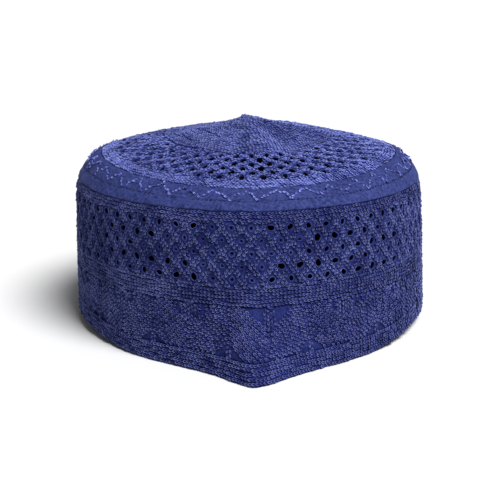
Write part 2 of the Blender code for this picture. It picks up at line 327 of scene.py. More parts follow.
# %% [markdown]
# ## Thread and cloth
#
# The thread is a soft twisted cotton. A chance value stored on each stitch moves its colour a little,
# and a crest value paints a highlight where the loop stands highest and shade where it is held down
# and in its middle. Slow noise stands for dye and handling, and for painted shade of soft folds. The
# plain cloth is a fine weave on a UV map in metres, so it follows the wall round, with the low places
# of its weave painted a little darker, as shade. Both could be painted, but a rule stays sharp at any
# size.

# %% Colours, in linear light
# The thread's dark colour is painted shade, for held-down ends, gaps and loop middles; its light
# colour is a painted highlight on the loops' high ends.
THREAD_PAINTED_SHADE, THREAD_MAIN = (0.003, 0.006, 0.092), (0.038, 0.050, 0.198)
THREAD_PAINTED_HIGHLIGHT = (0.126, 0.147, 0.325)
CLOTH_DARK, CLOTH_MAIN = (0.005, 0.009, 0.082), (0.021, 0.029, 0.125)
TAPE_DARK, TAPE_MAIN = (0.009, 0.014, 0.072), (0.040, 0.054, 0.190)
DYE_AND_SHADE_SCALE = 70.0  # patches about 14 mm across, of uneven dye and of painted shade of soft folds
FIBRE_SCALE = 1900.0  # fibres of the thread, about half a millimetre
SLUB_SCALE = 720.0  # thicker and thinner places of the plain cloth's threads
WEAVE_PITCH = 0.00042  # from thread to thread of the plain cloth


def opaque(colour, brightness=1.0):
    return (*(brightness * c for c in colour), 1.0)


# %% Shared parts of the materials
COTTON = {"Sheen Roughness": 0.45, "Sheen Tint": (0.40, 0.48, 1.0, 1.0), "Specular IOR Level": 0.06}


def new_material(name, values):
    """A material, its graph and its Principled shader, with the values that are uniform."""
    made = bpy.data.materials.new(name)
    made.use_nodes = True
    shader = made.node_tree.nodes["Principled BSDF"]
    for key, value in values.items():
        shader.inputs[key].default_value = value
    return made, Graph(made.node_tree), shader


def noise(graph, place, scale, detail=2.0):
    values = {"Vector": place, "Scale": scale, "Detail": detail}
    return graph.node("ShaderNodeTexNoise", values, "Fac")


def mottling(graph):
    """Object coordinates, with slow noise for dye and for painted shade of soft folds, and the
    fibres' fine noise in them.
    """
    place = graph.node("ShaderNodeTexCoord", out="Object")
    return place, noise(graph, place, DYE_AND_SHADE_SCALE), noise(graph, place, FIBRE_SCALE, 3.0)


def blend(graph, share, first, second):
    """A colour between two, by share."""
    values = {"Factor": share, "A": first, "B": second}
    return graph.node("ShaderNodeMix", values, data_type="RGBA")


def join_shader(graph, shader, colour, height, strength, depth):
    """Link colour and relief to the shader."""
    relief = graph.node("ShaderNodeBump", {
        "Strength": strength, "Distance": depth, "Height": height})
    graph.tree.links.new(colour.socket, shader.inputs["Base Color"])
    graph.tree.links.new(relief.socket, shader.inputs["Normal"])


# %% Thread for the stitches
def thread_material(name, brightness=1.0, evenness=0.0):
    """Chain-stitch thread. Brightness scales its colours: above 1 it is painted light, for the crown,
    which the lamp lights from above, and for thread that lies loose and catches more light; below 1
    it is painted shade. Evenness keeps the colour away from the painted shade of the gaps, for
    stitches that lie flat."""
    made, graph, shader = new_material(name, {**COTTON, "Roughness": 0.66, "Sheen Weight": 0.06})
    chance, crest_light_and_shade = (graph.node("ShaderNodeAttribute", out="Fac", attribute_name=stored)
                     for stored in ("chance", "crest_light_and_shade"))
    _, dye_and_shade, fibre = mottling(graph)
    # Painted shade where a loop is held down and in its middle, painted highlight where it stands
    # highest; chance and slow noise vary the tone.
    body = crest_light_and_shade * 0.9 + chance * 0.5 + dye_and_shade * 0.5 - 0.30
    highlight_share = crest_light_and_shade * (chance * 0.9 + 0.35) + dye_and_shade * 0.5 + fibre * 0.6 - 0.70
    main, bright = opaque(THREAD_MAIN, brightness), opaque(THREAD_PAINTED_HIGHLIGHT, brightness)
    colour = blend(graph, body.between(evenness, 1.0), opaque(THREAD_PAINTED_SHADE), main)
    colour = blend(graph, highlight_share.between(0.0, 1.0), colour, bright)
    # The slow noise also scales the whole colour: uneven dye, and painted shade of soft folds.
    join_shader(graph, shader, graph.scaled(colour, dye_and_shade + 0.51), fibre, 0.5, 0.0001)
    return made


# %% Plain woven cloth
def cloth_material(name, dark, main, relief):
    """Plain weave on the UV map: threads pass over and under each other in turn."""
    made, graph, shader = new_material(name, {**COTTON, "Roughness": 0.80, "Sheen Weight": 0.05})
    parts = graph.node("ShaderNodeSeparateXYZ", [graph.node("ShaderNodeUVMap", uv_map="UVMap")])
    u, v = parts / WEAVE_PITCH, parts.out("Y") / WEAVE_PITCH
    over = (u.maths("FLOOR") + v.maths("FLOOR")).maths("FLOORED_MODULO", 2.0)
    warp, weft = ((run * pi).maths("SINE").maths("ABSOLUTE") for run in (u, v))
    height = over * warp + (1 - over) * weft
    place, dye_and_shade, fibre = mottling(graph)
    slub = noise(graph, place, SLUB_SCALE)
    # The weave's height darkens its low places a little: painted shade between the threads.
    share = height * 0.3 + dye_and_shade * 0.4 + slub * 2.2 + fibre * 0.3 - 1.10
    colour = blend(graph, share.between(0.0, 1.0), opaque(dark), opaque(main))
    join_shader(graph, shader, colour, height + slub * 2.5 + fibre * 0.6, relief, 0.00014)
    return made


# %% The materials of the cap
THREAD = thread_material("blue_chain_stitch")
# Copies of the thread with colours scaled up, as painted light: the disc and the crown's lattice, lit
# from above, and the crown border and the zigzag, whose loose thread catches more light.
DISC_THREAD = thread_material("disc_chain_stitch_painted_light", 1.6, 0.3)
CROWN_THREAD = thread_material("crown_chain_stitch_painted_light", 1.95, 0.35)
BRIGHT_THREAD = thread_material("bright_thread_painted_light", 2.3, 0.3)
# Thread darkened to about a third: painted shade of the needle line's pulled-in stitches.
NEEDLE_SHADE_THREAD = thread_material("needle_thread_painted_shade", 0.35)
GROUND = cloth_material("stitched_ground_cloth", CLOTH_DARK, CLOTH_MAIN, 0.5)
SMOOTH = cloth_material("smooth_tape_cloth", TAPE_DARK, TAPE_MAIN, 0.25)
print("materials:", [m.name for m in bpy.data.materials])

# %% [markdown]
# ## The cloth strips
#
# Each strip is a thin shell: a closed section swept round the cap, with columns that crowd towards
# the sharp front crease. It lies a little under the solid's face, because the stitches bring it
# back to that face. Here the distances along the cloth are known, so its UV map is made too.

# %% Columns round the cap
HALF_COLUMNS = 150
CREASE_CROWDING = 1.35
BURIED = 0.0005  # cloth under dense stitches lies this far below the solids' face

right = 180 * (np.arange(HALF_COLUMNS + 1) / HALF_COLUMNS) ** CREASE_CROWDING
ANGLES = np.concatenate([-right[-2:0:-1], right])
print("columns:", len(ANGLES), "narrowest in degrees:", round(float(np.diff(ANGLES).min()), 3))

# %% A mesh from points, with its UV map
SHARP_ANGLE = 50.0  # degrees; an edge that turns more is shaded sharp


def new_mesh(name, points, edges=(), faces=()):
    mesh = bpy.data.meshes.new(name)
    mesh.from_pydata([tuple(p) for p in points], edges, faces)
    return mesh


def new_object(name, data):
    """A mesh, lamp or camera as an object of the scene."""
    made = bpy.data.objects.new(name, data)
    bpy.context.scene.collection.objects.link(made)
    return made


def mesh_piece(name, points, faces, uvs, material):
    """One piece from points, faces, and UVs for each face corner, in face order."""
    mesh = new_mesh(name, points, faces=faces)
    mesh.materials.append(material)
    layer = mesh.uv_layers.new(name="UVMap")
    layer.data.foreach_set("uv", np.asarray(uvs, np.float32).ravel())
    mesh.shade_smooth()
    mesh.set_sharp_from_angle(angle=radians(SHARP_ANGLE))
    return new_object(name, mesh)


def swept_strip(name, face, section, material):
    """A closed section of (place, rise) swept round the cap. It starts outside, at the low edge."""
    angles, count = np.append(ANGLES, ANGLES[0] + 360), len(section)
    places, rises = (np.array(column) for column in zip(*section))
    grid, _ = lifted(face, angles[:, None], places[None, :], rises[None, :])
    grid[..., 2] = np.maximum(grid[..., 2], 0)  # the rim rests on the floor
    middle = grid[:, count // 4]
    run = np.append(0, np.cumsum(np.linalg.norm(np.diff(middle, axis=0), axis=1)))
    edge = np.linalg.norm(np.diff(grid[0], axis=0, append=grid[0][:1]), axis=1)
    rise = np.append(0, np.cumsum(edge))
    faces, uvs = [], []
    for column in range(len(ANGLES)):
        for k in range(count):
            square = [(column + a, k + b) for a, b in ((0, 0), (1, 0), (1, 1), (0, 1))]
            faces.append([c % len(ANGLES) * count + row % count for c, row in square])
            uvs += [(run[c], rise[row]) for c, row in square]
    return mesh_piece(name, grid[:-1].reshape(-1, 3), faces, uvs, material)


# %% Sections of the strips
HEM_WALL, BAND_WALL, DIVIDER_WALL, MESH_WALL, TAPE_WALL, DISC_WALL = (
    0.0026, 0.0020, 0.0018, 0.0012, 0.0012, 0.0016)
SEAM_GAP = 0.00015  # half the gap that the strips keep between each other
EDGE_TURN = 0.0003  # how far the edges of a strip are turned in
ROLL_STEP = 0.0008  # from the hem's rolled edge to the first points of its face


def hem_section():
    """The thick hem: its lower edge is rolled round, its top joins the band."""
    top, half = HEM_TOP - SEAM_GAP, HEM_WALL / 2
    roll = [(half * (1 - np.cos(a)), -half + (half - BURIED) * np.sin(a))
            for a in np.linspace(0, pi / 2, 5)]
    face = [(p, -BURIED) for p in np.linspace(roll[-1][0] + ROLL_STEP, top, 6)]
    return roll + face + [(p, -HEM_WALL) for p in np.linspace(top, half, 4)]


def plain_strip(name, face, low, high, wall, steps):
    """A plain wall between two seams, with its edges turned in a little."""
    gap = SEAM_GAP if high > low else -SEAM_GAP
    places = np.linspace(low + gap, high - gap, steps + 1)
    ends = (places[0], places[-1])
    front = [(p, -BURIED - EDGE_TURN if p in ends else -BURIED) for p in places]
    return swept_strip(name, face, front + [(p, -wall) for p in places[::-2]], GROUND)


hem_cloth = swept_strip("hem_cloth", side_face, hem_section(), GROUND)
band_cloth = plain_strip("band_cloth", side_face, HEM_TOP, BAND_TOP, BAND_WALL, 10)
divider_cloth = plain_strip("divider_cloth", side_face, BAND_TOP, MESH_BOTTOM, DIVIDER_WALL, 6)
top_border_cloth = plain_strip(
    "top_border_cloth", side_face, MESH_TOP, SIDE_HEIGHT, DIVIDER_WALL, 4)
print("hem faces:", len(hem_cloth.data.polygons), "band:", len(band_cloth.data.polygons))

# %% [markdown]
# ## The shoulder tape
#
# The tape is a smooth bias-cut strip. Its lower edge is folded under and stands a little proud of
# the border below, and its upper edge is turned in over the crown.

# %% The tape's section and its piece
TAPE_FOLD = 0.27  # share of the tape that its folded lower edge takes
TAPE_PROUD = 0.00055  # how far the folded edge stands out


def tape_section():
    """Shares of the tape with their rises: the fold, the flat face, the upper edge, the inside."""
    outer = [(share, TAPE_PROUD * rise) for share, rise in (
        (0.0, 0.0), (0.012, 0.8), (0.05, 1.0), (0.14, 1.0), (0.22, 0.9), (TAPE_FOLD, 0.55))]
    outer += [(share, 0.0) for share in (0.305, *np.linspace(0.37, 0.93, 9))]
    outer += [(0.97, 0.0001), (0.992, 0.0), (1.0, -0.0004)]
    return outer + [(share, -TAPE_WALL) for share in (1.0, 0.8, 0.55, 0.3, 0.0)]


tape_cloth = swept_strip("tape_cloth", tape_face, tape_section(), SMOOTH)
print("tape faces:", len(tape_cloth.data.polygons))

# %% [markdown]
# ## The crown's border and disc
#
# The border is a strip like those of the side. The disc closes the crown, so its rings of points
# end in one point, and the folds and the pinched peak come with the form.

# %% Border and disc of the crown
DISC_COLUMNS, DISC_RINGS, INNER_RINGS = 120, 30, 10
RING_CROWDING = 1.3  # the rings crowd towards the pinched point


def disc_piece():
    """Rings from the middle out to the edge and back along the inside."""
    radius = DISC_RADIUS - SEAM_GAP
    rings = [(r, -BURIED) for r in radius * np.linspace(0.06, 1, DISC_RINGS) ** RING_CROWDING]
    rings += [(r, -DISC_WALL) for r in radius * np.linspace(1, 0.08, INNER_RINGS)]
    angles = np.linspace(-180, 180, DISC_COLUMNS, endpoint=False)
    radii, rises = (np.array(column) for column in zip(*rings))
    grid, _ = lifted(crown_face, angles[None, :], radii[:, None], rises[:, None])
    peak = crown_face(0.0, 0.0)
    tips = [peak - (0, 0, BURIED), peak - (0, 0, DISC_WALL)]
    points = np.concatenate([grid.reshape(-1, 3), tips])
    faces = []
    final = (len(rings) - 1) * DISC_COLUMNS
    for column in range(DISC_COLUMNS):
        after = (column + 1) % DISC_COLUMNS
        faces.append((len(points) - 2, column, after))
        faces += [(k + column, k + DISC_COLUMNS + column, k + DISC_COLUMNS + after, k + after)
                  for k in range(0, final, DISC_COLUMNS)]
        faces.append((final + column, len(points) - 1, final + after))
    uvs = [points[corner][:2] for face in faces for corner in face]
    return mesh_piece("disc_cloth", points, faces, uvs, GROUND)


crown_border_cloth = plain_strip(
    "crown_border_cloth", crown_face, TAPE_EDGE_RADIUS, NET_OUTER_RADIUS, DIVIDER_WALL, 6)
disc_cloth = disc_piece()
print("disc faces:", len(disc_cloth.data.polygons))

# %% [markdown]
# ## Eyelet cloth
#
# The eyelets show as black dots because the cap is dark inside, so they are real holes. A Boolean
# cut of nearly six hundred is slow and leaves long thin faces. So the cloth is made of diamonds,
# one round each hole, and the lattice lines of stitches later run along the diamonds' sides.

# %% Lattices of the two pierced strips
Lattice = namedtuple("Lattice", "face columns rows low high first pitch hole tall turn")
SIDE_LATTICE = Lattice(side_face, 66, 5, MESH_BOTTOM, MESH_TOP, 0.0421, 0.00583, 0.00150, 1.0, -1.8)
CROWN_LATTICE = Lattice(crown_face, 42, 6, NET_OUTER_RADIUS, DISC_RADIUS, 0.0662, -0.00385,
                        0.00150, 1.45, 1.7)
HOLE_SIDES = 12


def lattice_place(lattice, up):
    """The place of a lattice row, kept on the strip."""
    place = lattice.first + lattice.pitch * (np.asarray(up, float) - 1)
    return np.clip(place, min(lattice.low, lattice.high), max(lattice.low, lattice.high))


def lattice_angle(lattice, across):
    """The angle of a place across the lattice, which counts two to a column."""
    return lattice.turn + 180 * np.asarray(across, float) / lattice.columns

# %% How far the eyelets open
# Eyelets of the side that the crease squeezes nearly shut: each row's lowest and highest angle.
# The crown's eyelets open most over the front crease, where its cloth is stretched.
SQUEEZED = {1: (-13, 3.2), 2: (-17, 5), 3: (-33, 13), 4: (-27, 15), 5: (-13, 3.5)}
SQUEEZED_SHARE = 0.4
CROWN_OPEN, FRONT_OPEN, FRONT_SPREAD = 0.84, 0.36, 18.0
INNER_SIZE, OUT_OF_ROUND = 0.72, 0.13


def openness(lattice, across, up):
    """The share of its full size that an eyelet has. No two are quite the same."""
    share = 0.92 + 0.12 * np.sin(12.9 * across + 78.2 * up)
    angle = wrapped(lattice_angle(lattice, across))
    if lattice.face is side_face:
        low, high = SQUEEZED[up]
        return share * (SQUEEZED_SHARE if low < angle < high else 1.0)
    return share * (CROWN_OPEN + FRONT_OPEN * np.exp(-(angle / FRONT_SPREAD) ** 2))


def hole_points(lattice, across, up):
    """The rim of one eyelet as (across, up) places. The crown's are smaller near the disc."""
    turn = np.linspace(0, 2 * pi, HOLE_SIDES, endpoint=False)
    radius, size = RIM_RADIUS, lattice.hole * openness(lattice, across, up)
    if lattice.face is crown_face:
        radius = abs(lattice_place(lattice, up))
        size = size * (INNER_SIZE + (1 - INNER_SIZE) * radius / NET_OUTER_RADIUS)
    step = radius * pi / lattice.columns
    pull = 1 + OUT_OF_ROUND * np.sin(2 * turn + 5.1 * across + 3.7 * up)
    return (across + size * pull / step * np.cos(turn),
            up + lattice.tall * size * pull / abs(lattice.pitch) * np.sin(turn))


# %% Cloth pierced by a lattice of eyelets
KEY_STEPS = 60  # corners that agree to this part of a half column are one


def pierced_strip(name, lattice, wall, material):
    """Diamonds with a hole each, and half diamonds along the two edges of the strip."""
    index, places, faces = {}, [], []

    def vertex(across, up):
        key = (round(across * KEY_STEPS) % (2 * KEY_STEPS * lattice.columns), round(up * KEY_STEPS))
        if key not in index:
            index[key] = len(places)
            places.append((across, up))
        return index[key]
    thirds = (0.0, 1 / 3, 2 / 3)
    for row in range(lattice.rows + 2):
        for column in range(lattice.columns):
            across = 2 * column + row % 2
            corners = [(1, 0), (0, 1), (-1, 0), (0, -1)]
            if row == 0:
                corners = corners[:3]
            if row == lattice.rows + 1:
                corners = [corners[2], corners[3], corners[0]]
            rim = []
            for k, (a, b) in enumerate(corners):
                c, d = corners[(k + 1) % len(corners)]
                shares = thirds if len(corners) == 4 or k < 2 else (0.0, 0.5)
                rim += [vertex(across + a + (c - a) * s, row + b + (d - b) * s) for s in shares]
            if len(corners) == 3:
                faces.append(rim)
                continue
            first = len(places)
            places.extend(zip(*hole_points(lattice, across, row)))
            for k in range(HOLE_SIDES):
                after = (k + 1) % HOLE_SIDES
                faces.append([rim[k], rim[after], first + after, first + k])
    across, up = (np.array(column) for column in zip(*places))
    angles, rows = lattice_angle(lattice, across), lattice_place(lattice, up)
    outer, _ = lifted(lattice.face, angles, rows, -BURIED)
    inner, _ = lifted(lattice.face, angles, rows, -wall)
    flat = np.stack([np.radians(angles) * RIM_RADIUS, rows], axis=1)
    return closed_shell(name, outer, inner, faces, material, flat)


def closed_shell(name, outer, inner, faces, material, flat):
    """An outer and an inner sheet of the same faces, with walls along every open edge."""
    count = len(outer)
    edges = {(f[k], f[(k + 1) % len(f)]) for f in faces for k in range(len(f))}
    walls = [(b, a, a + count, b + count) for a, b in sorted(edges) if (b, a) not in edges]
    whole = faces + [[corner + count for corner in reversed(f)] for f in faces] + walls
    flat = np.concatenate([flat, flat])
    uvs = []
    for f in whole:
        corners = flat[list(f)]
        turn = 2 * pi * RIM_RADIUS
        corners[:, 0] -= np.round((corners[:, 0] - corners[0, 0]) / turn) * turn
        uvs += list(corners)
    piece = mesh_piece(name, np.concatenate([outer, inner]), whole, uvs, material)
    shell = bmesh.new()
    shell.from_mesh(piece.data)
    bmesh.ops.recalc_face_normals(shell, faces=shell.faces)
    shell.to_mesh(piece.data)
    shell.free()
    return piece


side_eyelet_cloth = pierced_strip("side_eyelet_cloth", SIDE_LATTICE, MESH_WALL, GROUND)
crown_eyelet_cloth = pierced_strip("crown_eyelet_cloth", CROWN_LATTICE, MESH_WALL, GROUND)
print("eyelets:", [lattice.columns * lattice.rows for lattice in (SIDE_LATTICE, CROWN_LATTICE)])

# %% [markdown]
# ## Chain stitch
#
# A chain stitch is a loop of thread, held down by the loop after it. The thousands on the cap are
# instances of one small loop along guide lines, made by Geometry Nodes. The tree resamples each
# guide to whole stitches, turns each loop to the guide and the cloth, varies its size and stores a
# chance value for its colour. The export would lose instances, so they become a plain mesh.

# %% How a geometry tree starts and ends
LOOP_POINTS, THREAD_SIDES = 5, 3


def new_tree(name, numbers):
    """A graph that takes guides, numbers with their usual values and a material."""
    tree = bpy.data.node_groups.new(name, "GeometryNodeTree")

    def add(key, kind, way="INPUT"):
        return tree.interface.new_socket(key, in_out=way, socket_type="NodeSocket" + kind)

    add("Made", "Geometry", "OUTPUT")
    add("Guides", "Geometry")
    for key, value in numbers.items():
        add(key, "Int" if isinstance(value, int) else "Float").default_value = value
    add("Material", "Material")
    graph = Graph(tree)
    return graph, graph.node("NodeGroupInput")


def end_tree(graph, made, material):
    """Realize the instances, set the material and hand out the result."""
    made = graph.node("GeometryNodeRealizeInstances", [made])
    made = graph.node("GeometryNodeSetMaterial", {"Geometry": made, "Material": material})
    graph.node("NodeGroupOutput", [made])
    return graph.tree


# %% The places of the stitches, and one loop
def stitch_places(graph, given):
    """Points along the guides, with the turn that lays a loop along the guide on the cloth."""
    line = graph.node("GeometryNodeMeshToCurve", [given])
    length = graph.node("GeometryNodeSplineLength")
    count = (length / given.out("Pitch")).maths("ROUND").maths("MAXIMUM", 2.0)
    line = graph.node("GeometryNodeResampleCurve", {"Curve": line, "Count": count})
    shift = graph.node("FunctionNodeRandomValue", {
        "Min": (-1.0, -1.0, -1.0), "Max": (1.0, 1.0, 1.0), "Seed": given.out("Seed") + 9},
        data_type="FLOAT_VECTOR")
    shift = graph.scaled(shift, given.out("Unevenness") * given.out("Width") * 1.2)
    line = graph.node("GeometryNodeSetPosition", {"Geometry": line, "Offset": shift})
    axes = [graph.node("GeometryNodeInputNamedAttribute", ["cloth_normal"], data_type="FLOAT_VECTOR"),
            graph.node("GeometryNodeInputTangent")]
    return line, graph.node(
        "FunctionNodeAxesToRotation", axes, primary_axis="Z", secondary_axis="X")


def one_loop(graph, given):
    """A loop of thread round a dark middle face, which is painted shade in the hole of the loop. The
    crest value sets painted light: 1 where the loop stands highest, for a highlight, 0 where it is
    held down, for shade, and -1 in the middle."""
    thread = given.out("Thread")
    circle = graph.circle(LOOP_POINTS, 1.0)
    x = graph.node("ShaderNodeSeparateXYZ", [graph.node("GeometryNodeInputPosition")])
    circle = graph.stored(circle, "crest_light_and_shade", (x + 1) * 0.5)
    place = graph.vector(
        x * given.out("Pitch") * given.out("Overlap") * -0.5,
        x.out("Y") * (1 - x * 0.3) * (given.out("Width") - thread * 2) * 0.55,
        thread * (1.2 + x * 0.9))
    loop = graph.node("GeometryNodeSetPosition", {"Geometry": circle, "Position": place})
    strand = graph.circle(THREAD_SIDES, thread)
    # The middle face is painted shade: a dark sheet in the hole of the loop.
    middle = graph.node("GeometryNodeFillCurve", [loop], mode="NGONS")
    middle = graph.node("GeometryNodeSetPosition", {
        "Geometry": middle, "Offset": graph.vector(0.0, 0.0, thread * 0.7)})
    middle = graph.stored(middle, "crest_light_and_shade", -1.0)
    loop = graph.node("GeometryNodeCurveToMesh", {"Curve": loop, "Profile Curve": strand})
    both = graph.node("GeometryNodeJoinGeometry", [loop])
    graph.tree.links.new(middle.socket, both.socket.node.inputs[0])
    return both


# %% The tree that sews chain stitch
def chain_stitch_tree():
    """Guide lines in, stitches out."""
    graph, given = new_tree("sew_chain_stitch", {
        "Pitch": 0.002, "Width": 0.0012, "Thread": 0.0003, "Overlap": 1.3, "Unevenness": 0.1,
        "Seed": 1})
    line, turn = stitch_places(graph, given)
    loop = one_loop(graph, given)
    uneven = given.out("Unevenness")

    def chance(low, high, shift):
        return graph.node("FunctionNodeRandomValue", {
            "Min": low, "Max": high, "Seed": given.out("Seed") + shift}, data_type="FLOAT")

    size = graph.vector(*(1 + uneven * chance(-reach, reach, shift)
                          for shift, reach in ((1, 1.0), (2, 1.0), (3, 1.5))))
    swing = graph.vector(*(uneven * chance(-reach, reach, shift)
                           for shift, reach in ((4, 2.0), (5, 1.0), (6, 1.2))))
    swing = graph.node("FunctionNodeEulerToRotation", [swing])
    turn = graph.node("FunctionNodeRotateRotation", [turn, swing], rotation_space="LOCAL")
    sewn = graph.node("GeometryNodeInstanceOnPoints", {
        "Points": line, "Instance": loop, "Rotation": turn, "Scale": size})
    sewn = graph.stored(sewn, "chance", chance(0.0, 1.0, 7), "INSTANCE")
    return end_tree(graph, sewn, given.out("Material"))


SEW = chain_stitch_tree()
print("tree inputs:", [item.name for item in SEW.interface.items_tree if item.in_out == "INPUT"])


# %% Guides, and what a tree makes along them
WOBBLE = 0.00013  # how far a hand-guided row strays to each side
TAPE_WIDTH = 0.0155


def stray(angles, places):
    """A slow wander that differs from row to row."""
    turned = np.radians(angles)
    return WOBBLE * (np.sin(37 * turned + 9100 * places) + np.sin(61 * turned - 5300 * places)
                     + np.sin(14 * turned + 3700 * places))


def guide(face, angles, places, closed=False):
    """A line for stitches: its points, their normals, and whether it runs all the way round."""
    angles, places = np.asarray(angles, float), np.asarray(places, float)
    scale = 1 / TAPE_WIDTH if face is tape_face else 1.0
    points, normals = lifted(face, angles, places + scale * stray(angles, places), -BURIED)
    return points, normals, closed


def made_along(name, guides, tree, wanted):
    """What a tree makes along guides, as one plain mesh. Inputs are set by their identifiers."""
    edges, start = [], 0
    for points, _, closed in guides:
        last = start + len(points) - 1
        edges += [(k, k + 1) for k in range(start, last)] + [(last, start)] * closed
        start = last + 1
    mesh = new_mesh(name + "_guides", [p for points, _, _ in guides for p in points], edges)
    stored = mesh.attributes.new("cloth_normal", "FLOAT_VECTOR", "POINT")
    normals = np.concatenate([normals for _, normals, _ in guides])
    stored.data.foreach_set("vector", normals.astype(np.float32).ravel())
    lines = new_object(name + "_guides", mesh)
    maker = lines.modifiers.new("maker", "NODES")
    maker.node_group = tree
    for item in tree.interface.items_tree:
        if item.in_out == "INPUT" and item.name in wanted:
            maker[item.identifier] = wanted[item.name]
    seen = lines.evaluated_get(bpy.context.evaluated_depsgraph_get())
    made = bpy.data.meshes.new_from_object(seen)
    bpy.data.objects.remove(lines)
    bpy.data.meshes.remove(mesh)
    if "cloth_normal" in made.attributes:
        made.attributes.remove(made.attributes["cloth_normal"])
    made.name = name
    made.shade_smooth()
    return new_object(name, made)


def sew(name, guides, pitch, width, thread, seed, material=THREAD, unevenness=0.09, overlap=1.12):
    """Chain stitches along guides."""
    piece = made_along(name, guides, SEW, {
        "Pitch": pitch, "Width": width, "Thread": thread, "Overlap": overlap,
        "Unevenness": unevenness, "Seed": seed, "Material": material})
    print(name, "stitches:", len(piece.data.polygons) // (LOOP_POINTS * THREAD_SIDES + 1))
    return piece


# %% [markdown]
# ## Straight rows
#
# The hem, the divider and the two borders are closed rows side by side, whose loops just touch.

# %% Rows round the cap
STITCH_PITCH, ROW_WIDTH, THREAD_RADIUS = 0.00176, 0.00160, 0.00028
HEM_START, EDGE_CLEAR, TAPE_CLEAR = 0.0006, 0.0002, 0.0003  # from the edge of a strip to its rows


def sew_rows(name, face, low, high, count, *sizes, **more):
    """Closed rows that fill a strip, half a row from its edges."""
    places = low + (high - low) * (np.arange(count) + 0.5) / count
    rings = [guide(face, ANGLES, np.full(len(ANGLES), place), closed=True) for place in places]
    return sew(name, rings, *sizes, **more)


hem_chain = sew_rows(
    "hem_chain", side_face, HEM_START, HEM_TOP, 5, STITCH_PITCH, 0.00170, 0.00029, seed=11)
divider_chain = sew_rows(
    "divider_chain", side_face, BAND_TOP, MESH_BOTTOM, 6, STITCH_PITCH, 0.00145, 0.00027, seed=12)
top_border_chain = sew_rows(
    "top_border_chain", side_face, MESH_TOP, SIDE_HEIGHT - EDGE_CLEAR, 3,
    STITCH_PITCH, 0.00148, 0.00027, seed=13)
# The crown border's thread is painted brighter, as light from above.
crown_border_chain = sew_rows(
    "crown_border_chain", crown_face, NET_OUTER_RADIUS, TAPE_EDGE_RADIUS - TAPE_CLEAR, 5,
    0.0016, 0.00140, 0.00025, seed=14, material=BRIGHT_THREAD)

# %% [markdown]
# ## Waves of rows on the side band
#
# Parallel rows fill the band and go up and down in waves with rounded turns. Under the divider
# each dip leaves a V with a post of stitches. The V at the front stays plain cloth, and short level
# rows fill the others. On the hem each crest leaves a smaller V. All rows have one shape, at
# different heights, cut where it leaves the band.

# %% Lengths along the band
WAVES = 15
WAVE_START = -5.2  # angle of the first crest, on the left flank of the front crease
BAND_HEIGHT = BAND_TOP - HEM_TOP

around = np.arange(WAVE_START, WAVE_START + 360.1, 0.25)
steps = np.diff(side_face(around, (HEM_TOP + BAND_TOP) / 2 + 0 * around), axis=0)
girth = np.append(0, np.cumsum(np.linalg.norm(steps, axis=1)))
WAVE_RUN = girth[-1] / WAVES


def band_guide(x, y, closed=False):
    """A guide by lengths along and up the band."""
    turns = np.floor(x / girth[-1])
    angle = np.interp(x - turns * girth[-1], girth, around) + 360 * turns
    return guide(side_face, angle, HEM_TOP + y, closed)


print("the band is", round(1000 * girth[-1]), "mm round, a wave", round(1000 * WAVE_RUN, 1))

# %% Rows of the waves, cut at the band's edges
CREST, ROUNDING = 0.0072, 0.965  # half the height of a wave, and how sharp its turns are
DIP_DEPTH, FOOT_DEPTH = 0.0101, 0.0062  # depth of the plain V under the divider and over the hem


def cut_rows(x, y):
    """Guides for the stretches of one closed row that lie on the band."""
    kept = (y > EDGE_CLEAR) & (y < BAND_HEIGHT - EDGE_CLEAR)
    if kept.all():
        return [band_guide(x, y, True)]
    first = int(np.argmin(kept))
    kept, y = np.roll(kept, -first), np.roll(y, -first)
    x = np.roll(np.where(np.arange(len(x)) < first, x + girth[-1], x), -first)
    steps = np.append(np.diff(kept.astype(int)), -1)
    starts, ends = np.flatnonzero(steps == 1) + 1, np.flatnonzero(steps == -1) + 1
    pairs = [(a, ends[ends > a][0]) for a in starts]
    return [band_guide(x[a:b], y[a:b]) for a, b in pairs if b - a > 3]


x = np.linspace(0, girth[-1], 32 * WAVES, endpoint=False)
wave = CREST * np.arcsin(ROUNDING * np.cos(2 * pi * x / WAVE_RUN)) / asin(ROUNDING)
band_rows = []
for height in np.linspace(FOOT_DEPTH - CREST, BAND_HEIGHT - DIP_DEPTH + CREST, 11):
    band_rows += cut_rows(x, height + wave)
band_waves = sew("band_waves", band_rows, STITCH_PITCH, ROW_WIDTH, THREAD_RADIUS, seed=21)

# %% Posts and level rows in the plain places
POST_REACHES = (0.0008, 0.0024, 0.0041)  # half widths of the arches of a post
POST_FOOT, POST_CLEAR, FOOT_POST_TOP = 0.0008, 0.0003, 0.0040
LEVEL_ROWS = ((0.0009, 0.0106), (0.0026, 0.0084))  # how far below the divider, and how far out
LEVEL_START = 0.0052  # where the level rows start, from the middle of the post


def post_guides(middle, foot, top, reaches, slope=0.0):
    """Rows that run up, over in an arch, and down. With a slope, the outer ones start higher."""
    guides = []
    for reach in reaches:
        turn = np.linspace(pi, 0, 8)
        arch = top - reach
        up = np.linspace(foot + slope * reach, arch, 5, endpoint=False)
        across = np.concatenate([[-reach] * 5, reach * np.cos(turn), [reach] * 5])
        up = np.concatenate([up, arch + reach * np.sin(turn), up[::-1]])
        guides.append(band_guide(middle + across, up))
    return guides


